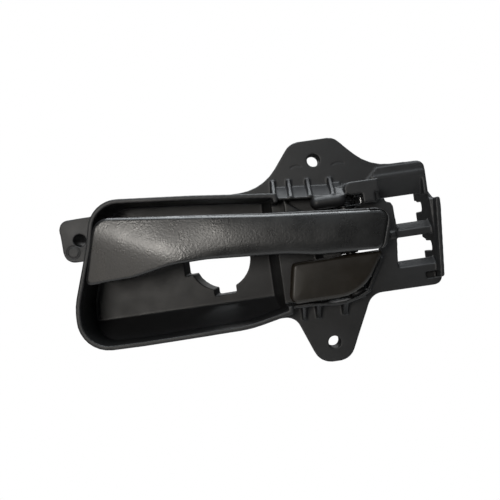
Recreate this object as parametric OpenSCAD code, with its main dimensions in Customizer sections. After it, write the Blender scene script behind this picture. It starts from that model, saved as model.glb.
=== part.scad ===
// Interior door release handle: a moulded housing with a finger cup, a long pull
// lever and a lock knob that turn on one upright steel pin, and a bracket with
// two cable seats.
// +X runs along the lever to the cable bracket, +Z is up and -Y faces the cabin.
// The origin is the centre of the upper screw hole on the front of the flange.

/* [Fixing] */
// Diameter of the three fixing screw holes
screw_hole_d = 6.6; // [6.2:0.1:7.0]
// Depth of the screw bosses behind the front of the flange
boss_depth = 12.5; // [9:0.5:14]
// Depth of the longer screw boss at the left ear
left_boss_depth = 28; // [24:0.5:30]
// Thickness of the flange
flange_t = 2.5; // [2:0.1:3]

/* [Cup] */
// Thickness of the cup wall
cup_wall = 2.4; // [2:0.1:2.8]
// Height of the cup rim in front of the flange
rim_h = 16; // [15:0.5:17]
// Depth of the cup floor behind the front of the flange
cup_depth = 18; // [15:0.5:20]
// Radius of the keyed opening in the cup floor
key_r = 16; // [14:0.1:16.2]

/* [Pivot] */
// Diameter of the steel pivot pin
pin_d = 5; // [4.4:0.1:5.2]
// Running gap between the pin and the bushes, on the radius
pin_gap = 0.05; // [0.03:0.01:0.1]
// Outer diameter of the bushes
bush_d = 7; // [6.6:0.1:7.2]

/* [Lever] */
// Thickness of the front cover of the lever
cover_t = 2.4; // [2:0.1:2.8]
// Depth of the lever from its front to its back edge
lever_depth = 10; // [9.5:0.1:10.2]
// Thickness of the lever frame walls
lever_wall = 2; // [1.6:0.1:2.4]

/* [Lock knob] */
// Thickness of the lock knob skin
knob_skin = 2; // [1.6:0.1:2.2]

/* [Cables] */
// Diameter of the seats for the cable casings
seat_d = 5.4; // [5:0.1:5.6]
// Diameter of the sockets for the cable nipples
nipple_d = 6.2; // [5.6:0.1:6.4]

/* [Return spring] */
// Wire diameter of the return spring
wire_d = 1.1; // [0.9:0.1:1.2]
// Mean radius of the return spring
spring_r = 5.2; // [5:0.1:5.4]

/* [Hidden] */
$fn = 64;
e = 0.01;

// the pin axis
px = 12;
py = -4;
pin_r = pin_d / 2;
bush_r = bush_d / 2;
hub_r = 5.4;
boss_r = 4.8;

// heights along the pin, from the top
z_pin_top = -18;
z_sleeve = -21.7;
z_hub_top = -29.3;
z_hub_bot = -48.2;
z_web_top = -49.3;
z_web_bot = -51.4;
z_lock_top = -52.4;
z_lock_bot = -68.4;
z_foot_top = -69.6;
z_foot_bot = -73.2;

// cable lines: depth and height
cable_lever = [18.7, -31.9];
cable_lock = [9.1, -53.9];

// fixing holes
screw_at = [[0, 0, boss_depth], [-2.5, -97, boss_depth], [-128.7, -24.2, left_boss_depth]];

// corner points with their corner radii, anticlockwise seen from the cabin
flange_pts = [
    [-46, -11.5, 0], [-46, -80.6, 0], [-21.3, -80.6, 8], [-11.4, -107.2, 9.5], [4.8, -107.2, 9],
    [20.7, -74.5, 8.5], [58.9, -74.5, 4.6], [58.9, -30.5, 0], [57.9, -27.5, 0],
    [57.9, -7.9, 4.5], [28.9, -7.2, 26], [12, 10.8, 7], [-11.1, 10.9, 9], [-28.7, -11.5, 26]];
ear_pts = [[-112, -12.4, 0], [-138.9, -12.7, 5], [-137.9, -35.5, 6], [-112, -35.7, 0]];
cup_pts = [
    [-22.6, -15.7, 0], [-66, -10.5, 120], [-116.7, -5.6, 15.5], [-122.1, -29, 20], [-131.9, -58, 30],
    [-132.9, -82.2, 16.5], [-100, -82.8, 200], [-45, -82.1, 60], [-22.6, -77.4, 0]];
bay_pts = [
    [-34, -20, 0], [-34, -73.4, 0], [-8, -73.2, 20], [10.5, -73.4, 8], [17.2, -70.2, 3],
    [31, -47.6, 4], [34.4, -40, 2], [34.4, -24, 2], [31, -21.6, 1], [13.6, -21.6, 0], [-5, -20.8, 10]];
bay_hole_pts = [
    [-1, -29, 1], [-1, -73.2, 1], [10.5, -73, 6], [16.6, -70.2, 3], [30.3, -47.5, 3],
    [33.4, -40, 3], [33.4, -31.2, 2], [18.4, -31.2, 0], [18.4, -29, 0]];
lever_pts = [
    [-124.4, -48.2, 2.6], [-99, -47.6, 30], [-80, -44, 40], [-62, -43.7, 60], [-22, -46.7, 60],
    [-8, -49.2, 40], [27.2, -50.9, 4], [33.9, -31.3, 7.5], [-30, -25.2, 100], [-114.5, -15.3, 8.5]];
cover_pts = [
    [-124.4, -48.2, 2.6], [-99, -47.6, 30], [-80, -44, 40], [-62, -43.7, 60], [-22, -46.7, 60],
    [-8, -49.2, 40], [24.9, -50.8, 4], [30.9, -32.2, 4], [-30, -25.9, 100], [-114.5, -15.3, 8.5]];
knob_pts = [[-24.1, -72.8, 4.2], [13.5, -72.8, 22], [27.4, -51.5, 1.6], [-20, -51.9, 3]];

// rounding and insetting of a list of [x, z, corner radius]
function xy(p) = [p[0], p[1]];
function unit(v) = v / norm(v);
function turn(u, w) = u.x * w.y - u.y * w.x;
function at(p, i) = p[(i + len(p)) % len(p)];
function corner(a, b, c, r, n) = let(
    u = unit(a - b), w = unit(c - b), half = acos(u * w) / 2,
    m = b + unit(u + w) * r / sin(half),
    p = b + u * r / tan(half), q = b + w * r / tan(half),
    a0 = atan2(p.y - m.y, p.x - m.x), a1 = atan2(q.y - m.y, q.x - m.x),
    da = (a1 - a0 + 540) % 360 - 180
) [for (i = [0 : n]) m + r * [cos(a0 + da * i / n), sin(a0 + da * i / n)]];
function steps(a, b, c) = max(2, round(acos((a - b) * (b - c) / norm(a - b) / norm(b - c)) / 11));
function rounded(p) = [for (i = [0 : len(p) - 1])
    let(a = xy(at(p, i - 1)), b = xy(p[i]), c = xy(at(p, i + 1)))
    each (p[i][2] > 0 ? corner(a, b, c, p[i][2], steps(a, b, c)) : [b])];
function inset(p, t) = [for (i = [0 : len(p) - 1])
    let(a = xy(at(p, i - 1)), b = xy(p[i]), c = xy(at(p, i + 1)),
        u = unit(b - a), w = unit(c - b), m = [-u.y, u.x], n = [-w.y, w.x],
        q = b + (m + n) * t / (1 + m * n),
        r = p[i][2] == 0 ? 0 : max(0.4, p[i][2] + (turn(u, w) > 0 ? -t : t)))
    [q.x, q.y, r]];

// depth of the lever's front along its length: flat in the middle, swept back at the tip
function front_y(x) = -25 + 0.00055 * pow(max(0, -40 - x), 2) + 0.0014 * pow(max(0, x - 10), 2);
function band(d0, d1) = concat(
    [for (x = [36 : -6 : -126]) [x, front_y(x) + d0]],
    [for (x = [-126 : 6 : 36]) [x, front_y(x) + d1]]);

// an outline in X and Z, given depth from y0 to y1
module slab(y0, y1) translate([0, y1, 0]) rotate([90, 0, 0]) linear_extrude(y1 - y0) children();
// an outline in Y and Z, given length from x0 to x1
module strip(x0, x1) translate([x0, 0, 0]) rotate([90, 0, 90]) linear_extrude(x1 - x0) children();
// an outline in X and Y, given height from z0 to z1
module column(z0, z1) translate([0, 0, z0]) linear_extrude(z1 - z0) children();
module box(a, b) translate(a) cube(b - a);
module disc_y(x, z, y0, y1, r) translate([x, y1, z]) rotate([90, 0, 0]) cylinder(h = y1 - y0, r = r);
module disc_x(y, z, x0, x1, r) translate([x0, y, z]) rotate([0, 90, 0]) cylinder(h = x1 - x0, r = r);
module disc_z(x, y, z0, z1, r) translate([x, y, z0]) cylinder(h = z1 - z0, r = r);
// a thin wall behind the flange between two points of the front view
module rib_between(a, b, y0, y1, t) translate([a.x, y1, a.y])
    rotate([0, -atan2(b.y - a.y, b.x - a.x), 0]) rotate([90, 0, 0])
    linear_extrude(y1 - y0) translate([0, -t / 2]) square([norm(b - a), t]);

// ---- housing ----

module cup_body() intersection() {
    slab(-rim_h, cup_depth + 2.2) polygon(rounded(cup_pts));
    strip(-140, -20) polygon([[-20, 5], [cup_depth + 2.2, 5], [cup_depth + 2.2, -70.6], [5, -83], [5, -100], [-20, -100]]);
    column(-100, 5) polygon([[-150, -20], [-22.6, -20], [-22.6, 0.5], [-27.4, cup_depth + 2.2], [-150, cup_depth + 2.2]]);
}
module cup_space() intersection() {
    slab(-rim_h - 1, cup_depth) polygon(rounded(inset(cup_pts, cup_wall)));
    strip(-140, -20) polygon([[-20, 5], [cup_depth, 5], [cup_depth, -69.5], [4.3, -80.6], [4.3, -100], [-20, -100]]);
    column(-100, 5) polygon([[-150, -20], [-24.8, -20], [-25.4, -1], [-29.8, cup_depth], [-150, cup_depth]]);
}
module key_outline(g) {
    translate([-57.4, -45.8]) {
        circle(r = key_r + g, $fn = 72);
        translate([-5.2 - g, -19 - g]) square([11.5 + 2 * g, 38 + 2 * g]);
        translate([-19.4 - g, -5.3 - g]) square([18, 11.6 + 2 * g]);
    }
}
// the opening's collar leans to the right as it goes back
module key_tilt() translate([-57.4, cup_depth, -45.8]) rotate([4, 0, -16]) translate([57.4, -cup_depth, 45.8]) children();
module flange_plate() {
    slab(0, flange_t) {
        polygon(rounded(flange_pts));
        polygon(rounded(ear_pts));
    }
    // turned edge behind the flange
    slab(flange_t - e, 6) difference() {
        polygon(rounded(flange_pts));
        polygon(rounded(inset(flange_pts, 1.8)));
    }
    // raised strip beside the upper ear
    slab(-0.5, e) polygon([[32.6, -8.9], [56.2, -9], [57.2, -10.4], [57.2, -15.6], [25.4, -15.6]]);
}
module screw_boss(p) disc_y(p.x, p.y, 0.5, p.z, 5.3);
module screw_hole(p) disc_y(p.x, p.y, -1, p.z + 1, screw_hole_d / 2);
// sloping roof over the lever with its four gussets
module roof() {
    translate([-22.6, 0, -18.4]) rotate([0, 5, 0]) translate([22.6, 0, 18.4]) {
        strip(-24.9, 13) polygon([[0.5, -11.6], [-1.6, -12.1], [-12, -17.6], [-12.7, -17.8], [-12.7, -18.9], [-11, -19.2], [0.5, -14.6]]);
        for (x = [-24.9, -16.5, -6.5, 5.2])
            strip(x, x + 2) polygon([[0.5, -7.8], [-1.3, -7.8], [-13, -17.3], [-13, -18.5], [0.5, -12.4]]);
    }
    // smooth sweep down to the rolled lip
    strip(7.1, 12) polygon([[0.5, -13.4], [-1.6, -14.1], [-8.6, -17.2], [-13.4, -21.4], [-10.6, -23], [-7.2, -20.6], [0.5, -15.6]]);
    // rolled lip
    difference() {
        union() {
            disc_x(-10.6, -23.3, -2.5, 9, 3.6);
            for (x = [-2.5, 9]) translate([x, -10.6, -23.3]) sphere(r = 3.6, $fn = 48);
        }
        box([-10, -6.9, -30], [20, 0, -15]);
    }
    // wedge under the lip
    slab(-7.6, -6) polygon([[-19.4, -15.8], [-17.6, -15.8], [-17.6, -20.4], [-10.4, -26.2], [-19.4, -26.2]]);
}
// hood beside the return spring
module hood() {
    slab(-13, 1) polygon([[11.9, -18.6], [12.4, -16.9], [13.6, -15.6], [15.2, -15.2], [29.8, -15.2], [29.8, -21.8],
                          [14.6, -21.8], [13.2, -20.9], [12.3, -20]]);
    box([20.9, -13, -26.8], [27.4, -9.6, -21]);
    box([27.3, -11, -26], [29.8, 1, -21]);
}
// ledge under the lock knob with its gussets
module ledge() {
    slab(-12, 1) difference() {
        polygon([[-26, -73.4], [-14, -73.5], [-8, -74.2], [0, -75.1], [6, -74.9], [12, -73.2], [17.3, -70.8], [19.2, -71.8],
                 [12.4, -74.9], [6, -76.5], [0, -76.8], [-10, -75.5], [-26, -75]]);
    }
    // edge of the bay beside the knob
    slab(-3.2, 1) polygon([[18.2, -71.2], [21, -66.4], [27.4, -55.6], [29, -56.2], [22.5, -67.4], [19.8, -72]]);
    for (p = [[-17.5, 1.9], [-10, 2.3], [3.8, 2.7]])
        strip(p[0], p[0] + p[1]) polygon([[-11.6, -75], [0.5, -75], [0.5, -83], [-1, -83]]);
}
// curved wall behind the return spring
module spring_barrel() intersection() {
    disc_z(px, py, -29, z_sleeve + 0.2, 8.4);
    box([0, -1, -30], [30, 10, -20]);
}
module upper_bearing() {
    disc_z(px, py, z_sleeve, -16, boss_r);
    box([px - boss_r, py, z_sleeve], [px + boss_r, 1, -16]);
}
module middle_bearing() {
    disc_z(px, py, z_web_bot, z_web_top, 4);
    column(z_web_bot, z_web_top) polygon([[px, py - 4], [px, py + 4], [0, 2.5], [-4, 2.5], [-4, 0], [-2, -3]]);
    column(z_web_bot - 1, z_web_top) polygon([[6.8, -8.4], [6.8, 1.5], [-4, 2.5], [-6, 0], [-3, -6]]);
}
module lower_bearing() {
    disc_z(px, py, z_foot_bot, z_foot_top, boss_r);
    box([px - boss_r, py, z_foot_bot], [px + boss_r, flange_t, z_foot_top]);
    box([px - boss_r, py - 2, z_foot_bot - 2], [px + boss_r, flange_t, z_foot_bot + e]);
}
// the two windows of the cable bracket, with their bars and end wall
module window_holes() {
    slab(-3, 12) polygon([[34.4, -24.9], [34.8, -27], [37.4, -27.9], [38.5, -30.2], [38.9, -43.4], [57.5, -43.4], [57.5, -24.9]]);
    slab(-3, 12) polygon([[38.2, -47.2], [36.5, -63.1], [57.5, -63.1], [57.5, -47.2]]);
    slab(-3, 5) polygon([[50.4, -67.1], [56.9, -67.1], [56.9, -70.5], [50.4, -70.5]]);
    slab(-3, 12) polygon([[31.5, -15.6], [55.5, -15.6], [55.5, -25], [31.5, -25]]);
}
module slope() {
    strip(30, 57.5) polygon([[-1, -15.6], [6, -24.9], [8.6, -24.9], [2.5, -15.4], [2.5, -13], [-1, -13]]);
    for (x = [29.8, 55.7]) strip(x, x + 1.8) polygon([[-0.4, -15.2], [2.5, -13.6], [8.6, -24.9], [8.6, -26], [-0.2, -26]]);
}
module bars() {
    strip(37.6, 58.2) polygon([[0, -43.6], [5.2, -39.7], [7.4, -39.7], [7.4, -47.2], [0, -47.2]]);
    strip(36.2, 58.2) polygon([[0, -63.3], [4.6, -59.8], [7.4, -59.8], [7.4, -67.1], [0, -67.1]]);
    box([49, 5, -72], [58.2, 7.4, -66]);
    box([34.6, -0.8, -46.8], [37.8, 1, -43.6]);
}
module end_wall() {
    strip(57.3, 59.9) polygon([[-1.5, -29.2], [8, -24], [30, -23.1], [30, -40.4], [23.4, -43], [23.4, -61.6], [7, -70.3], [-1.5, -69.7]]);
    slab(-6, 0.7) polygon(rounded([[59.6, -28.6, 1], [56.4, -70.2, 0.5], [58.5, -71, 1.4], [61.9, -33.5, 10], [62, -28.6, 1.4]]));
}
module seat_cut(y0, y1, z) {
    disc_x(y0 + seat_d / 2, z, 56, 64, seat_d / 2);
    box([56, y0 + seat_d / 2, z - seat_d / 2], [64, y1, z + seat_d / 2]);
}
module rear_ribs() {
    for (s = [[[0, 0], [-20, -13]], [[0, 0], [20, -8]], [[0, 0], [0, -14]], [[-2.5, -97], [-12, -80]],
              [[-2.5, -97], [5, -80]], [[-128.7, -24.2], [-118, -14]], [[-128.7, -24.2], [-119, -33]]])
        rib_between(s[0], s[1], 1, 9, 1.6);
    for (x = [-104, -82, -30.5]) box([x, cup_depth + 2, -68], [x + 1.6, cup_depth + 6, -16]);
    box([-118, cup_depth + 2, -32], [-80, cup_depth + 6, -30.4]);
}

module housing() color([0.09, 0.09, 0.1]) difference() {
    union() {
        difference() {
            union() {
                flange_plate();
                cup_body();
                ledge();
            }
            cup_space();
            slab(-20, 0) polygon(rounded(bay_pts));
            slab(-20, 20) polygon(rounded(bay_hole_pts));
            window_holes();
        }
        // collar behind the keyed opening
        intersection() {
            key_tilt() slab(cup_depth - 8, cup_depth + 16) key_outline(2);
            box([-90, cup_depth + 0.4, -80], [-30, cup_depth + 9, -15]);
        }
        for (p = screw_at) screw_boss(p);
        roof();
        hood();
        slope();
        bars();
        end_wall();
        spring_barrel();
        upper_bearing();
        middle_bearing();
        lower_bearing();
        rear_ribs();
        // posts under the rubber pads
        disc_y(-14, -37, -9, 1, 3.6);
        for (z = [-57.5, -67.5]) disc_y(-14, z, -5, 1, 2.6);
        column(-34.4, -29.4) polygon([[-0.95, 2.4], [-3.9, 6.6], [-7, 6.6], [-9, 2.4]]);
        // post that holds the detent spring
        box([20.3, 0, -67.4], [23.6, 10, -59.4]);
    }
    key_tilt() slab(cup_depth - 10, cup_depth + 18) key_outline(0);
    for (p = screw_at) screw_hole(p);
    disc_z(px, py, -75.6, z_pin_top, pin_r + 0.01);
    disc_z(px, py, -76, z_foot_bot, 3.9);
    disc_z(px, py, z_hub_top, z_sleeve, 6.4);
    seat_cut(16, 31, cable_lever[1]);
    seat_cut(6.4, 24.5, cable_lock[1]);
    // lead-ins of the two cable seats
    strip(56, 64) polygon([[25.6, -28.2], [31, -28.2], [31, -31], [25.6, -31]]);
    strip(56, 64) polygon([[17, -50.4], [24, -48.9], [24, -52], [17, -52]]);
    // slit for the detent spring
    box([20.05, -1, -65.4], [20.9, 8.6, -60.4]);
    // mould mark on the left ear
    difference() { disc_y(-132.9, -30.1, -1, 0.3, 3.4); disc_y(-132.9, -30.1, -2, 1, 2.9); }
}

// ---- pivot ----

module pivot_pin() color([0.7, 0.71, 0.73]) {
    disc_z(px, py, z_foot_bot - 1.4, z_pin_top - 0.2, pin_r);
    disc_z(px, py, z_foot_bot - 1.4, z_foot_bot - 0.02, 3.6);
}
module pin_retaining_clip() color([0.55, 0.56, 0.58]) difference() {
    disc_z(px, py, -69.5, -68.8, 4.4);
    disc_z(px, py, -70, -68, pin_r + 0.02);
    translate([px, py - 1.9, -70]) cube([8, 3.8, 2]);
}
module bush(z0, z1, flange_up) color([0.1, 0.1, 0.11]) difference() {
    union() {
        disc_z(px, py, z0, z1, bush_r - 0.02);
        if (flange_up) disc_z(px, py, z1, z1 + 0.7, 4.5);
        else disc_z(px, py, z0 - 0.7, z0, 4.5);
    }
    disc_z(px, py, z0 - 2, z1 + 2, pin_r + pin_gap);
}
module lever_bush_upper() bush(z_hub_top - 6, z_hub_top, true);
module lever_bush_lower() bush(z_hub_bot, z_hub_bot + 6, false);
module lock_bush() bush(z_lock_bot, z_lock_top, true);
module spring_sleeve() color([0.1, 0.1, 0.11]) difference() {
    disc_z(px, py, -28.2, z_sleeve, 4.2);
    disc_z(px, py, -30, -20, pin_r + 0.1);
}

// ---- lever ----

module crank(z0, z1, reach, w) difference() {
    union() {
        column(z0, z1) polygon([[px - w / 2, py], [px - w / 2, py + reach], [px + w / 2, py + reach], [px + w / 2, py]]);
        disc_z(px, py + reach, z0, z1, nipple_d / 2 + 1.7);
    }
    disc_z(px, py + reach, z0 - 1, z1 + 1, nipple_d / 2);
    box([px, py + reach - 1, z0 - 1], [px + 10, py + reach + 1, z1 + 1]);
}
module lever_frame() color([0.08, 0.08, 0.085]) difference() {
    union() {
        difference() {
            intersection() {
                slab(-27, -10) polygon(rounded(lever_pts));
                column(-60, 0) polygon(band(cover_t + 0.05, lever_depth));
            }
            // hollow back, with ribs left standing
            difference() {
                intersection() {
                    slab(-27, -5) polygon(rounded(inset(lever_pts, lever_wall)));
                    column(-60, 0) polygon(band(cover_t + 2.4, lever_depth + 5));
                }
                for (x = [-110, -96, -82, -68, -54, -40, -26]) box([x, -30, -60], [x + 1.5, 0, 0]);
                box([-120, -30, -33], [30, 0, -31.6]);
                box([-19, -30, -42], [-9, 0, -32]);
                box([2, -30, -50], [22, 0, -28]);
            }
        }
        // raised rim round the right end of the cover
        intersection() {
            slab(-27, -10) difference() {
                polygon(rounded(lever_pts));
                polygon(rounded(inset(cover_pts, -0.25)));
            }
            column(-60, 0) polygon(band(0.5, cover_t + 1));
            box([21.5, -30, -60], [40, 0, -20]);
        }
        // hub on the pin and the web that carries the arm
        disc_z(px, py, z_hub_bot, z_hub_top, hub_r);
        box([px - hub_r, -18, z_hub_bot + 1.5], [px + hub_r, py, z_hub_top - 1]);
        box([px + 4, -18, -41], [px + 9, -13, z_hub_top - 2.5]);
        crank(-34.2, -29.6, cable_lever[0] - py, 7);
    }
    disc_z(px, py, -50, -28, bush_r);
    // clearance holes for the cover screws
    for (p = [[-103, -30], [-61, -30], [-33, -33.5], [25.5, -40]])
        let(y = front_y(p.x) + cover_t) {
            disc_y(p.x, p.y, -30, -14, 1.6);
            disc_y(p.x, p.y, y + 2.45, -8, 2.9);
        }
}
module lever_front_cover() color([0.1, 0.1, 0.105]) difference() {
    intersection() {
        slab(-27, -10) polygon(rounded(cover_pts));
        column(-60, 0) polygon(band(0, cover_t));
    }
    for (p = [[-103, -30], [-61, -30], [-33, -33.5], [25.5, -40]])
        translate([p.x, front_y(p.x) + cover_t + 1, p.y]) rotate([90, 0, 0]) cylinder(h = 2.6, r = 1.05, $fn = 32);
}
module lever_cover_screws() color([0.6, 0.61, 0.63])
    for (p = [[-103, -30], [-61, -30], [-33, -33.5], [25.5, -40]])
        let(y = front_y(p.x) + cover_t) difference() {
            union() {
                disc_y(p.x, p.y, y - 1.4, y + 3.4, 1.0);
                disc_y(p.x, p.y, y + 2.5, y + 4.2, 2.6);
            }
            for (a = [0, 90]) translate([p.x, y + 4.6, p.y]) rotate([0, a, 0]) cube([2.8, 1.6, 0.6], center = true);
        }

// close-wound coil with one leg in the hood and one hooked on the lever
module lever_return_spring() color([0.72, 0.73, 0.75]) {
    for (i = [0 : 4]) translate([px, py, z_sleeve - 0.9 - i * (wire_d + 0.02)])
        rotate_extrude($fn = 48) translate([spring_r, 0]) circle(d = wire_d + 0.06, $fn = 16);
    disc_y(px + spring_r, z_sleeve - 0.9, -11, py, wire_d / 2);
    disc_x(py - spring_r, z_sleeve - 0.9 - 4 * (wire_d + 0.02), px, px + 8.4, wire_d / 2);
    disc_z(px + 8.2, py - spring_r, -29.4, -23.6, wire_d / 2);
}

// ---- lock knob ----

module lock_crank() color([0.08, 0.08, 0.085]) difference() {
    union() {
        disc_z(px, py, z_lock_bot, z_lock_top, 5);
        // cam with its two detent notches
        intersection() {
            disc_z(px, py, -66, -60, 7.4);
            box([0, -9.2, -70], [30, 20, -50]);
        }
        box([px - 5, -9.2, z_lock_bot + 0.5], [px + 5, py, z_lock_top - 0.5]);
        intersection() {
            box([px - 5, -12.5, z_lock_bot + 0.5], [px + 5, -9, z_lock_top - 0.5]);
            slab(-14, -8) polygon(rounded(inset(knob_pts, 2.1)));
        }
        crank(-56.6, z_lock_top, cable_lock[0] - py, 6);
        slab(-16 + knob_skin + 0.1, -11.4) polygon(rounded(inset(knob_pts, 2.1)));
        for (x = [-18.5, -8]) box([x, -12, -70], [x + 9, -9.3, -54.5]);
    }
    disc_z(px, py, -70, -50, bush_r);
    for (a = [0, -18]) translate([px, py, -67]) rotate([0, 0, a]) translate([7.4, 0, 0]) cylinder(h = 8, r = 1.2, $fn = 32);
}
module lock_knob() color([0.11, 0.1, 0.09]) difference() {
    slab(-16, -9.4) polygon(rounded(knob_pts));
    slab(-16 + knob_skin, -9) polygon(rounded(inset(knob_pts, 1.9)));
}
module lock_detent_spring() color([0.72, 0.73, 0.75]) {
    box([20.15, -6.2, -65.2], [20.75, 8.4, -60.6]);
    difference() {
        disc_z(20.4, py, -65.2, -60.6, 1.3);
        box([20.5, -6, -66], [23, -2, -60]);
        disc_z(20.4, py, -66, -60, 0.7);
    }
}

// ---- rubber and foam ----

module lever_rest_pad() color([0.05, 0.05, 0.05]) difference() {
    disc_y(-14, -37, -14.6, -6, 4.6);
    disc_y(-14, -37, -9, -5, 3.6);
}
module lever_open_stop_pad() color([0.05, 0.05, 0.05])
    translate([-2.2, 4.4, -31.9]) rotate([0, 0, 35]) rotate([0, 90, 0]) cylinder(h = 2.8, r = 2.2);
module lock_rest_pads() color([0.05, 0.05, 0.05])
    for (z = [-57.5, -67.5]) difference() {
        disc_y(-14, z, -9, -3, 3.4);
        disc_y(-14, z, -5, -2, 2.6);
    }
module anti_rattle_pads() color([0.16, 0.16, 0.17])
    for (x = [-119, -101]) box([x, cup_depth + 2.25, -62], [x + 13, cup_depth + 7.5, -36]);

housing();
pivot_pin();
pin_retaining_clip();
lever_frame();
lever_front_cover();
lever_cover_screws();
lever_bush_upper();
lever_bush_lower();
spring_sleeve();
lever_return_spring();
lock_crank();
lock_knob();
lock_bush();
lock_detent_spring();
lever_rest_pad();
lever_open_stop_pad();
lock_rest_pads();
anti_rattle_pads();
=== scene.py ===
import math

import bmesh
import bpy
import numpy as np
from mathutils import Matrix, Vector


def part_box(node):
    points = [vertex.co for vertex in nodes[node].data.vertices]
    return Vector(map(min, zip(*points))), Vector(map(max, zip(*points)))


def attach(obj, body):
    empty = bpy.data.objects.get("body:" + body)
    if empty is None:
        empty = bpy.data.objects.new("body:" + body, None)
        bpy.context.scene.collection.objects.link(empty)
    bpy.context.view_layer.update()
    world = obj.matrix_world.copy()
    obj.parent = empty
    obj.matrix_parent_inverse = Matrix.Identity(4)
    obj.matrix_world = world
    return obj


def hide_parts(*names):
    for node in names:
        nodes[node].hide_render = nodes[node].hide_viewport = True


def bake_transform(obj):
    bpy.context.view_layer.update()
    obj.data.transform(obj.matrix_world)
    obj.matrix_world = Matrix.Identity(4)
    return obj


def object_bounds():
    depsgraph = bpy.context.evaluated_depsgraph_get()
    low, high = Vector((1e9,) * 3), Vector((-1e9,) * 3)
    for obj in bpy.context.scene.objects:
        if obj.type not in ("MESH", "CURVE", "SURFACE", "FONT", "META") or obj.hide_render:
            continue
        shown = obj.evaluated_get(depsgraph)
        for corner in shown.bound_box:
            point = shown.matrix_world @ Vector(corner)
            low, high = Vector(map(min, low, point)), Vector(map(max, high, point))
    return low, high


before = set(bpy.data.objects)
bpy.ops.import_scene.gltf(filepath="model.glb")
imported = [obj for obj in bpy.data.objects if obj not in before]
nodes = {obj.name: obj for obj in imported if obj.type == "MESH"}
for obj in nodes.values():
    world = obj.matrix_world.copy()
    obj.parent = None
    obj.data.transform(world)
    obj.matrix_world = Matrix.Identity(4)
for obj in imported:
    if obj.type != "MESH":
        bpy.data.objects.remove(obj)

lo0, hi0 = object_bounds()
scene = bpy.context.scene
MM = 0.001


# ---------------------------------------------------------------- node helpers

def new_mat(name):
    m = bpy.data.materials.new(name)
    m.use_nodes = True
    nt = m.node_tree
    nt.nodes.clear()
    out = nt.nodes.new("ShaderNodeOutputMaterial")
    bsdf = nt.nodes.new("ShaderNodeBsdfPrincipled")
    nt.links.new(bsdf.outputs["BSDF"], out.inputs["Surface"])
    return m, nt, bsdf


def coords(nt, scale=(1, 1, 1)):
    tc = nt.nodes.new("ShaderNodeTexCoord").outputs["Object"]
    if scale == (1, 1, 1):
        return tc
    mp = nt.nodes.new("ShaderNodeMapping")
    mp.inputs["Scale"].default_value = scale
    nt.links.new(tc, mp.inputs["Vector"])
    return mp.outputs["Vector"]


def noise(nt, vec, scale, detail=4.0, rough=0.55, distortion=0.0):
    n = nt.nodes.new("ShaderNodeTexNoise")
    n.inputs["Scale"].default_value = scale
    n.inputs["Detail"].default_value = detail
    n.inputs["Roughness"].default_value = rough
    n.inputs["Distortion"].default_value = distortion
    nt.links.new(vec, n.inputs["Vector"])
    return n.outputs["Fac"]


def voronoi(nt, vec, scale, feature="F1", rand=1.0):
    n = nt.nodes.new("ShaderNodeTexVoronoi")
    n.feature = feature
    n.inputs["Scale"].default_value = scale
    n.inputs["Randomness"].default_value = rand
    nt.links.new(vec, n.inputs["Vector"])
    return n.outputs["Distance"]


def ramp(nt, fac, stops):
    r = nt.nodes.new("ShaderNodeValToRGB")
    r.color_ramp.elements[0].position = stops[0][0]
    r.color_ramp.elements[0].color = (*stops[0][1], 1)
    r.color_ramp.elements[1].position = stops[-1][0]
    r.color_ramp.elements[1].color = (*stops[-1][1], 1)
    for p, c in stops[1:-1]:
        e = r.color_ramp.elements.new(p)
        e.color = (*c, 1)
    nt.links.new(fac, r.inputs["Fac"])
    return r.outputs["Color"]


def remap(nt, fac, a, b, lo=0.0, hi=1.0):
    n = nt.nodes.new("ShaderNodeMapRange")
    n.inputs["From Min"].default_value = lo
    n.inputs["From Max"].default_value = hi
    n.inputs["To Min"].default_value = a
    n.inputs["To Max"].default_value = b
    nt.links.new(fac, n.inputs["Value"])
    return n.outputs["Result"]


def math_node(nt, op, a, b):
    n = nt.nodes.new("ShaderNodeMath")
    n.operation = op
    for i, v in enumerate((a, b)):
        if isinstance(v, (int, float)):
            n.inputs[i].default_value = v
        else:
            nt.links.new(v, n.inputs[i])
    return n.outputs[0]


def mix_rgb(nt, fac, a, b):
    n = nt.nodes.new("ShaderNodeMix")
    n.data_type = "RGBA"
    nt.links.new(fac, n.inputs["Factor"])
    for sock, v in (("A", a), ("B", b)):
        if isinstance(v, tuple):
            n.inputs[sock].default_value = (*v, 1)
        else:
            nt.links.new(v, n.inputs[sock])
    return n.outputs["Result"]


def bump(nt, bsdf, height, strength, dist):
    b = nt.nodes.new("ShaderNodeBump")
    b.inputs["Strength"].default_value = strength
    b.inputs["Distance"].default_value = dist
    nt.links.new(height, b.inputs["Height"])
    nt.links.new(b.outputs["Normal"], bsdf.inputs["Normal"])


def edge_mask(nt, vec, lo, hi):
    """Where convex edges rub bright: pointiness broken up by noise."""
    point = nt.nodes.new("ShaderNodeNewGeometry").outputs["Pointiness"]
    return math_node(nt, "MULTIPLY", remap(nt, point, 0.0, 1.0, lo, hi),
                     remap(nt, noise(nt, vec, 300.0, 6.0), 0.15, 1.0, 0.35, 0.68))


# ---------------------------------------------------------------- materials

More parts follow.
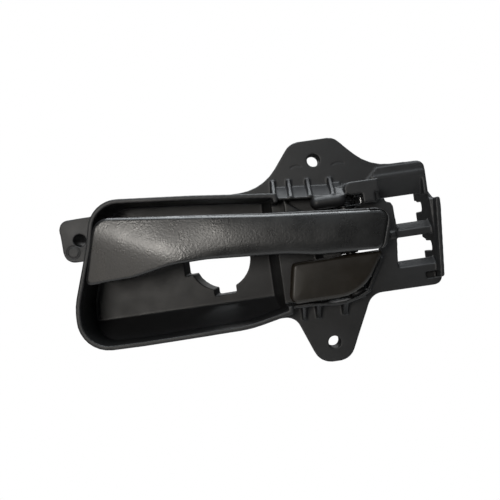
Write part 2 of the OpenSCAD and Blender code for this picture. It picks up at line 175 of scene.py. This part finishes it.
def moulded(name, base, rough, grain=0.3, grain_mm=0.28, wear=0.35, spec=0.5, tint=(1, 1, 1), pebble=0.0, pebble_mm=0.6, edge=(0.512, 0.57)):
    """Moulded plastic: fine spark-eroded texture, or a leather pebble, with faint flow marks, dust and rubbed edges."""
    m, nt, bsdf = new_mat(name)
    vec = coords(nt)
    broad = noise(nt, vec, 30.0, 5.0, 0.6)
    speck = noise(nt, vec, 2600.0, 2.0, 0.7)
    dark = tuple(c * 0.72 for c in base)
    light = tuple(c * 1.35 * t for c, t in zip(base, tint))
    col = ramp(nt, broad, [(0.3, dark), (0.5, base), (0.72, light)])
    col = mix_rgb(nt, remap(nt, speck, 0.0, 0.22, 0.55, 0.78), col, tuple(c * 2.6 + 0.004 for c in base))
    worn = math_node(nt, "MULTIPLY", edge_mask(nt, vec, *edge), wear)
    col = mix_rgb(nt, worn, col, tuple(c * 4.0 + 0.02 for c in base))
    nt.links.new(col, bsdf.inputs["Base Color"])
    r = remap(nt, noise(nt, vec, 90.0, 6.0), rough - 0.05, rough + 0.07, 0.3, 0.7)
    r = math_node(nt, "SUBTRACT", r, math_node(nt, "MULTIPLY", worn, 0.12))
    nt.links.new(r, bsdf.inputs["Roughness"])
    bsdf.inputs["Specular IOR Level"].default_value = spec
    fine = noise(nt, vec, 1000.0 / grain_mm, 2.5, 0.6)
    if pebble:
        wob = noise(nt, vec, 900.0 / pebble_mm, 2.0)
        cells = voronoi(nt, vec, 1000.0 / pebble_mm, "SMOOTH_F1")
        h = math_node(nt, "ADD", math_node(nt, "MULTIPLY", cells, -1.0), math_node(nt, "MULTIPLY", wob, 0.35))
        h = math_node(nt, "ADD", math_node(nt, "MULTIPLY", h, pebble), math_node(nt, "MULTIPLY", fine, 0.25))
        bump(nt, bsdf, h, grain, 0.00022)
    else:
        flow = noise(nt, coords(nt, (1, 1, 1)), 220.0, 3.0, 0.5, 0.6)
        h = math_node(nt, "ADD", fine, math_node(nt, "MULTIPLY", flow, 0.6))
        bump(nt, bsdf, h, grain, 0.00012)
    return m


def steel(name, base, rough, streak=(1, 1, 1), shaded_below=None):
    m, nt, bsdf = new_mat(name)
    vec = coords(nt, streak)
    lines = noise(nt, vec, 900.0, 4.0, 0.6)
    spots = noise(nt, coords(nt), 160.0, 6.0, 0.65)
    col = ramp(nt, spots, [(0.3, tuple(c * 0.62 for c in base)), (0.5, base), (0.72, tuple(min(1, c * 1.15) for c in base))])
    # painted shade: below the given height the wire's colour is darkened, standing in for the shade on the low run of
    # the spring leg
    if shaded_below is not None:
        xyz = nt.nodes.new("ShaderNodeSeparateXYZ")
        nt.links.new(coords(nt), xyz.inputs["Vector"])
        painted_shade = remap(nt, xyz.outputs["Z"], 1.0, 0.0, shaded_below - 0.0004, shaded_below + 0.0004)
        col = mix_rgb(nt, painted_shade, col, (0.055, 0.055, 0.057))
    nt.links.new(col, bsdf.inputs["Base Color"])
    nt.links.new(remap(nt, lines, rough - 0.1, rough + 0.12, 0.3, 0.7), bsdf.inputs["Roughness"])
    bsdf.inputs["Metallic"].default_value = 1.0
    bump(nt, bsdf, lines, 0.25, 0.00004)
    return m


def soft(name, base, rough, pore_mm, depth):
    """Rubber or closed-cell foam: pores and a dusty bloom on the edges."""
    m, nt, bsdf = new_mat(name)
    vec = coords(nt)
    cells = voronoi(nt, vec, 1000.0 / pore_mm)
    broad = noise(nt, vec, 140.0, 5.0)
    col = ramp(nt, broad, [(0.3, tuple(c * 0.7 for c in base)), (0.7, tuple(c * 1.4 for c in base))])
    col = mix_rgb(nt, math_node(nt, "MULTIPLY", edge_mask(nt, vec, 0.51, 0.58), 0.5), col, tuple(c * 2.5 + 0.03 for c in base))
    nt.links.new(col, bsdf.inputs["Base Color"])
    nt.links.new(remap(nt, cells, rough - 0.08, rough + 0.05), bsdf.inputs["Roughness"])
    bsdf.inputs["Specular IOR Level"].default_value = 0.3
    bump(nt, bsdf, cells, depth, 0.00015)
    return m


housing_mat = moulded("moulded_black", (0.0115, 0.0117, 0.0124), 0.44, grain=0.32, wear=0.32, spec=0.38)
frame_mat = moulded("frame_black", (0.011, 0.011, 0.0114), 0.42, grain=0.25, wear=0.3)
cover_mat = moulded("grained_black", (0.0078, 0.0079, 0.0080), 0.28, grain=0.18, grain_mm=0.3, wear=0.3, spec=0.60, pebble=1.0, pebble_mm=0.86, edge=(0.53, 0.60))
knob_mat = moulded("satin_brown_black", (0.0118, 0.0092, 0.0062), 0.34, grain=0.10, grain_mm=0.22, wear=0.5, spec=0.38)
acetal_mat = moulded("black_acetal", (0.016, 0.016, 0.017), 0.34, grain=0.12, wear=0.25, spec=0.45)
pin_mat = steel("phosphated_steel", (0.17, 0.17, 0.175), 0.36, (1, 1, 0.05))
# the upright leg keeps bright steel; its low horizontal run gets painted shade
spring_mat = steel("spring_wire", (0.46, 0.465, 0.475), 0.26, shaded_below=-0.0262)
# painted shade: the coil is the same wire as the leg, but its base colour is made much darker to stand in for the shade
# it sits in
coil_mat = steel("shade_darkened_spring_wire", (0.070, 0.070, 0.072), 0.42)
clip_mat = steel("clip_steel", (0.22, 0.215, 0.21), 0.36)
rubber_mat = soft("black_rubber", (0.016, 0.016, 0.017), 0.72, 0.35, 0.4)
foam_mat = soft("grey_foam", (0.045, 0.045, 0.048), 0.9, 0.8, 0.9)


def dress(obj, mat):
    obj.data.materials.clear()
    obj.data.materials.append(mat)
    return obj


# ---------------------------------------------------------------- mesh helpers

def smooth_shade(obj):
    obj.data.polygons.foreach_set("use_smooth", [True] * len(obj.data.polygons))
    obj.data.update()


def apply_mods(obj):
    dg = bpy.context.evaluated_depsgraph_get()
    dg.update()
    me = bpy.data.meshes.new_from_object(obj.evaluated_get(dg))
    old = obj.data
    obj.modifiers.clear()
    obj.data = me
    bpy.data.meshes.remove(old)
    return obj


def remeshed(names, new_name, voxel_mm, passes, factor=0.5):
    """A copy of one or more CAD nodes whose sharp edges are rounded by a fine voxel skin."""
    me = nodes[names[0]].data.copy()
    obj = bpy.data.objects.new(new_name, me)
    scene.collection.objects.link(obj)
    if len(names) > 1:
        bm = bmesh.new()
        for n in names:
            bm.from_mesh(nodes[n].data)
        bm.to_mesh(me)
        bm.free()
    r = obj.modifiers.new("skin", "REMESH")
    r.mode = "VOXEL"
    r.voxel_size = voxel_mm * MM
    r.adaptivity = 0.0
    if passes:
        s = obj.modifiers.new("round", "SMOOTH")
        s.factor = factor
        s.iterations = passes
    apply_mods(obj)
    smooth_shade(obj)
    return obj


def get_co(obj):
    co = np.empty(len(obj.data.vertices) * 3)
    obj.data.vertices.foreach_get("co", co)
    return co.reshape(-1, 3)


def set_co(obj, co):
    obj.data.vertices.foreach_set("co", co.ravel())
    obj.data.update()


def clamp_to(obj, lo, hi):
    co = get_co(obj)
    set_co(obj, np.clip(co, np.array(lo), np.array(hi)))


def stand_in(obj, node, body, mat):
    dress(obj, mat)
    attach(obj, body)
    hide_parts(node)
    return obj


# outline helpers: [x, z, corner radius] in millimetres, anticlockwise seen from the cabin

def rounded(points, step=6.0):
    out = []
    n = len(points)
    for i in range(n):
        a = np.array(points[i - 1][:2], float)
        b = np.array(points[i][:2], float)
        c = np.array(points[(i + 1) % n][:2], float)
        r = points[i][2]
        if r <= 0:
            out.append(b)
            continue
        u = (a - b) / np.linalg.norm(a - b)
        w = (c - b) / np.linalg.norm(c - b)
        half = math.acos(max(-1, min(1, float(u @ w)))) / 2
        bis = (u + w) / np.linalg.norm(u + w)
        m = b + bis * r / math.sin(half)
        p = b + u * r / math.tan(half)
        q = b + w * r / math.tan(half)
        a0 = math.atan2(p[1] - m[1], p[0] - m[0])
        a1 = math.atan2(q[1] - m[1], q[0] - m[0])
        da = (a1 - a0 + 3 * math.pi) % (2 * math.pi) - math.pi
        k = max(2, int(round(abs(math.degrees(da)) / step)))
        for j in range(k + 1):
            out.append(m + r * np.array([math.cos(a0 + da * j / k), math.sin(a0 + da * j / k)]))
    return np.array(out)


def edge_distance(co_xz, outline):
    """Distance in mm from each point to the closed outline."""
    best = np.full(len(co_xz), 1e9)
    for i in range(len(outline)):
        a = outline[i - 1]
        b = outline[i]
        ab = b - a
        t = np.clip(((co_xz - a) @ ab) / max(1e-9, float(ab @ ab)), 0, 1)
        d = np.linalg.norm(co_xz - (a + t[:, None] * ab), axis=1)
        best = np.minimum(best, d)
    return best


def quarter_round(d, r):
    """How far a front falls back at distance d from its edge, for an edge radius r."""
    k = np.clip(r - d, 0, r)
    return r - np.sqrt(np.maximum(r * r - k * k, 0))


COVER = [(-124.4, -48.2, 2.6), (-99, -47.6, 30), (-80, -44, 40), (-62, -43.7, 60), (-22, -46.7, 60),
         (-8, -49.2, 40), (24.9, -50.8, 4), (30.9, -32.2, 4), (-30, -25.9, 100), (-114.5, -15.3, 8.5)]
LEVER = [(-124.4, -48.2, 2.6), (-99, -47.6, 30), (-80, -44, 40), (-62, -43.7, 60), (-22, -46.7, 60),
         (-8, -49.2, 40), (27.2, -50.9, 4), (33.9, -31.3, 7.5), (-30, -25.2, 100), (-114.5, -15.3, 8.5)]
KNOB = [(-24.1, -72.8, 4.2), (13.5, -72.8, 22), (27.4, -51.5, 1.6), (-20, -51.9, 3)]


def front_y(x):
    return -25 + 0.00055 * np.maximum(0, -40 - x) ** 2 + 0.0014 * np.maximum(0, x - 10) ** 2


# ---------------------------------------------------------------- housing

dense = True
housing = remeshed(["housing"], "housing_skin", 0.45 if dense else 0.6, 5)
co = get_co(housing) / MM
flat = (co[:, 1] > -0.25) & (co[:, 1] < 0.6)
ring = np.hypot(co[:, 0] + 132.9, co[:, 2] + 30.1)
co[:, 1] += np.where(flat, 0.28 * np.exp(-((ring - 3.2) / 0.42) ** 2), 0)
for ax, az, ar, a0, a1 in ((-9.7, -6.6, 5.0, 55, 125), (12.6, -9.4, 6.4, 58, 122)):
    rr = np.hypot(co[:, 0] - ax, co[:, 2] - az)
    an = np.degrees(np.arctan2(co[:, 2] - az, co[:, 0] - ax))
    co[:, 1] += np.where(flat & (an > a0) & (an < a1), 0.2 * np.exp(-((rr - ar) / 0.35) ** 2), 0)
set_co(housing, co * MM)
lo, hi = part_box("housing")
clamp_to(housing, lo, hi)
stand_in(housing, "housing", "housing", housing_mat)

# ---------------------------------------------------------------- lever

frame_skin = remeshed(["lever_frame"], "lever_frame_skin", 0.4, 4)
co = get_co(frame_skin) / MM
x, y = co[:, 0], co[:, 1]
edge = edge_distance(co[:, [0, 2]], rounded(LEVER))
fy = front_y(x)
near = np.clip((x - 22) / 5, 0, 1) * np.clip((3.4 - (y - fy)) / 1.8, 0, 1)
co[:, 1] += near * quarter_round(edge, 1.3) * 0.8
set_co(frame_skin, co * MM)
stand_in(frame_skin, "lever_frame", "lever", frame_mat)

cover = remeshed(["lever_front_cover"], "lever_cover_skin", 0.4, 2)
co = get_co(cover) / MM
x, y, z = co[:, 0], co[:, 1], co[:, 2]
edge = edge_distance(co[:, [0, 2]], rounded(COVER))
s = (y - front_y(x)) / 2.4
s = np.clip((s - 0.14) / 0.72, 0, 1)
# the paddle: below a diagonal ridge the skin leans away to the lower left
ridge_a, ridge_b = np.array([-121.0, -20.0]), np.array([-66.0, -45.0])
rd = (ridge_b - ridge_a) / np.linalg.norm(ridge_b - ridge_a)
nrm = np.array([rd[1], -rd[0]])
side = (co[:, [0, 2]] - ridge_a) @ nrm
side = -side if nrm[1] > 0 else side
crown = 0.0
zt = np.interp(x, [-124, -114.5, -30, 31], [-16.5, -15.3, -25.9, -32.2])
zb = np.interp(x, [-124.4, -99, -80, -62, -22, -8, 25], [-48.2, -47.6, -44.4, -43.9, -46.5, -48.9, -50.8])
t = (z - (zt + zb) / 2) / ((zt - zb) / 2)
t = np.clip(t, -1, 1) + 0.35
beam = np.where(t > 0, 0.70, 2.1) * t * t * (1 - 0.65 * np.clip((x - 6) / 16, 0, 1))
soft_side = np.sqrt(side * side + 6.0 ** 2) - 6.0
paddle = np.where(side > 0, 0.11, 0.15) * soft_side - 0.9
wgt = np.clip((-50 - x) / 34, 0, 1)
wgt = wgt * wgt * (3 - 2 * wgt)
h = beam * (1 - wgt) + np.minimum(paddle, 1.9) * wgt
lip = quarter_round(edge, 1.4) * (1 - 0.45 * np.clip((x - 16) / 8, 0, 1))
h = np.maximum(h, np.minimum(h + lip, 1.95))
h = np.clip(h, -0.9, 2.0)
co[:, 1] = front_y(x) + 2.4 * s + (1 - s) * h
set_co(cover, co * MM)
lo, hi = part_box("lever_front_cover")
clamp_to(cover, (lo[0], max(lo0[1], lo[1] - 0.001), lo[2]), hi)
stand_in(cover, "lever_front_cover", "lever", cover_mat)

# ---------------------------------------------------------------- lock knob

knob = remeshed(["lock_knob"], "lock_knob_skin", 0.35, 2)
co = get_co(knob) / MM
y = co[:, 1]
edge = edge_distance(co[:, [0, 2]], rounded(KNOB))
s = np.clip((y + 16) / 2.0, 0, 1)
h = quarter_round(edge, 2.1) + 0.40 * (1 - np.clip(edge / 8.0, 0, 1)) ** 2
h = np.clip(h, 0, 1.85)
co[:, 1] = y + (1 - s) * h
set_co(knob, co * MM)
lo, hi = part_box("lock_knob")
clamp_to(knob, lo, hi)
stand_in(knob, "lock_knob", "lock", knob_mat)

crank_skin = remeshed(["lock_crank"], "lock_crank_skin", 0.35, 4)
stand_in(crank_skin, "lock_crank", "lock", frame_mat)

# ---------------------------------------------------------------- return spring: a true helix with two legs

PX, PY = 12.0, -4.0
WIRE = 0.55
COIL_R = 5.2
Z_FIX, Z_LEVER = -22.6, -27.08


def tube(name, path, radius, sides=14, cap=True):
    """A wire swept along the path with parallel transport, in millimetres."""
    pts = [Vector(p) for p in path]
    bm = bmesh.new()
    rings = []
    tang = (pts[1] - pts[0]).normalized()
    up = tang.orthogonal().normalized()
    for i, p in enumerate(pts):
        if i == 0:
            t1 = (pts[1] - pts[0]).normalized()
        elif i == len(pts) - 1:
            t1 = (pts[-1] - pts[-2]).normalized()
        else:
            t1 = (pts[i + 1] - pts[i - 1]).normalized()
        q = tang.rotation_difference(t1)
        up = (q @ up).normalized()
        tang = t1
        side = tang.cross(up)
        rr = radius
        rings.append([bm.verts.new((p + (up * math.cos(a) + side * math.sin(a)) * rr) * MM)
                      for a in (2 * math.pi * k / sides for k in range(sides))])
    for a, b in zip(rings, rings[1:]):
        for k in range(sides):
            bm.faces.new((a[k], a[(k + 1) % sides], b[(k + 1) % sides], b[k]))
    if cap:
        bm.faces.new(list(reversed(rings[0])))
        bm.faces.new(rings[-1])
    bmesh.ops.recalc_face_normals(bm, faces=bm.faces)
    me = bpy.data.meshes.new(name)
    bm.to_mesh(me)
    bm.free()
    obj = bpy.data.objects.new(name, me)
    scene.collection.objects.link(obj)
    smooth_shade(obj)
    return obj


def arc(cx, cy, r, a0, a1, z0, z1, n):
    return [(cx + r * math.cos(math.radians(a0 + (a1 - a0) * i / n)),
             cy + r * math.sin(math.radians(a0 + (a1 - a0) * i / n)),
             z0 + (z1 - z0) * i / n) for i in range(n + 1)]


# from the fixed leg at the right, round and down to the front of the coil
turns = 4.0
coil_path = [(PX + COIL_R, PY - 6.9 + 0.69 * i, Z_FIX) for i in range(10)]
coil_path += arc(PX, PY, COIL_R, 0, 360 * turns + 270, Z_FIX, Z_LEVER, 190)[0:]
coil = tube("return_spring_coil", coil_path, WIRE)
dress(coil, coil_mat)
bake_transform(coil)
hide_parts("lever_return_spring")

leg = [(PX - 0.1 + 0.5 * i, PY - COIL_R, Z_LEVER) for i in range(15)]
leg += [(PX + 8.2 - 1.3 + 1.3 * math.sin(math.radians(a)), PY - COIL_R, Z_LEVER + 1.3 - 1.3 * math.cos(math.radians(a)))
        for a in range(10, 91, 10)]
leg += [(PX + 8.2, PY - COIL_R, Z_LEVER + 1.3 + 0.35 * i) for i in range(1, 7)]
hook = tube("return_spring_leg", leg, WIRE)
dress(hook, spring_mat)
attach(hook, "lever")

# ---------------------------------------------------------------- rubber and foam pads

for n, slot_name, mat, vox in (("lever_rest_pad", "pad_rubber", rubber_mat, 0.22),
                               ("lever_open_stop_pad", "pad_rubber", rubber_mat, 0.15),
                               ("lock_rest_pads", "pad_rubber", rubber_mat, 0.2)):
    pad = remeshed([n], n + "_soft", vox, 3)
    stand_in(pad, n, "housing", mat)

foam = remeshed(["anti_rattle_pads"], "anti_rattle_foam", 0.4, 6)
co = get_co(foam) / MM
centre = np.where(co[:, 0] < -104, -112.5, -94.5)
u = np.clip(np.abs(co[:, 0] - centre) / 6.5, 0, 1)
v = np.clip(np.abs(co[:, 2] + 49) / 13.0, 0, 1)
back = np.clip((co[:, 1] - 20.3) / 5.2, 0, 1)
co[:, 1] -= back * 0.9 * np.maximum(u ** 4, v ** 6)
co[:, 0] += (centre - co[:, 0]) * 0.05 * np.sin(back * math.pi)
set_co(foam, co * MM)
stand_in(foam, "anti_rattle_pads", "housing", foam_mat)

# ---------------------------------------------------------------- pieces kept from CAD, with their own finish

for n, mat in (("pivot_pin", pin_mat), ("pin_retaining_clip", clip_mat), ("lever_cover_screws", pin_mat),
               ("lever_bush_upper", acetal_mat), ("lever_bush_lower", acetal_mat), ("spring_sleeve", acetal_mat),
               ("lock_bush", acetal_mat), ("lock_detent_spring", clip_mat)):
    dress(nodes[n], mat)
for n in nodes:
    if not nodes[n].data.materials or nodes[n].data.materials[0] is None or not nodes[n].data.materials[0].use_nodes:
        dress(nodes[n], frame_mat)

# ---------------------------------------------------------------- stage

def plane(name, size, loc, rot, col, rough=0.9):
    bpy.ops.mesh.primitive_plane_add(size=size, location=loc, rotation=rot)
    p = bpy.context.object
    p.name = name
    m, nt, bsdf = new_mat(name + "_mat")
    bsdf.inputs["Base Color"].default_value = (*col, 1)
    bsdf.inputs["Roughness"].default_value = rough
    bsdf.inputs["Specular IOR Level"].default_value = 0.1
    p.data.materials.append(m)
    return p


floor = plane("floor", 1.5, (0, -0.2, -0.45), (0, 0, 0), (0.88, 0.88, 0.88))

# a plain white studio: the open background is white, and lights the object only weakly
world = bpy.data.worlds.new("studio")
scene.world = world
world.use_nodes = True
wn = world.node_tree
back = wn.nodes["Background"]
back.inputs["Color"].default_value = (1, 1, 1, 1)
lp = wn.nodes.new("ShaderNodeLightPath")
wm = wn.nodes.new("ShaderNodeMapRange")
wm.inputs["To Min"].default_value = 0.05
wm.inputs["To Max"].default_value = 1.0
wn.links.new(lp.outputs["Is Camera Ray"], wm.inputs["Value"])
wn.links.new(wm.outputs["Result"], back.inputs["Strength"])


def area(name, loc, target, size, power, size_y=None):
    l = bpy.data.lights.new(name, "AREA")
    l.energy = power
    l.size = size
    if size_y:
        l.shape = "RECTANGLE"
        l.size_y = size_y
    o = bpy.data.objects.new(name, l)
    scene.collection.objects.link(o)
    o.location = loc
    o.rotation_euler = (Vector(target) - Vector(loc)).to_track_quat("-Z", "Y").to_euler()
    return o


area("key_top", (-0.10, -0.35, 0.55), (-0.05, 0, -0.04), 0.40, 2.5).data.color = (0.90, 0.96, 1.0)
area("top_soft", (0.05, 0.03, 0.62), (-0.02, 0, -0.02), 0.50, 6.2).data.color = (0.93, 0.97, 1.0)
area("low_fill", (-0.42, -0.62, -0.22), (-0.10, 0, -0.05), 0.30, 0.42).data.color = (1.0, 0.93, 0.85)
area("rear_soft", (0.05, 0.85, 0.40), (-0.03, 0.02, -0.04), 0.60, 0.9)
area("front_right_high", (0.28, -0.72, 0.42), (0.0, 0, -0.03), 0.40, 0.6).data.color = (0.88, 0.95, 1.0)
area("front_left", (-0.27, -0.85, 0.075), (-0.09, 0, -0.04), 0.22, 2.75).data.color = (1.0, 0.96, 0.90)

cam = bpy.data.cameras.new("camera")
cam.sensor_width = 36.0
cam.lens = 660.4 / 500 * 36
cam.clip_start = 0.01
camo = bpy.data.objects.new("camera", cam)
scene.collection.objects.link(camo)
camo.matrix_world = Matrix.Translation((-0.040, -0.350, -0.0422)) @ Matrix.Rotation(math.radians(90), 4, "X") @ Matrix.Rotation(math.radians(-8.3), 4, "Z")
scene.camera = camo
scene.view_settings.view_transform = "Standard"
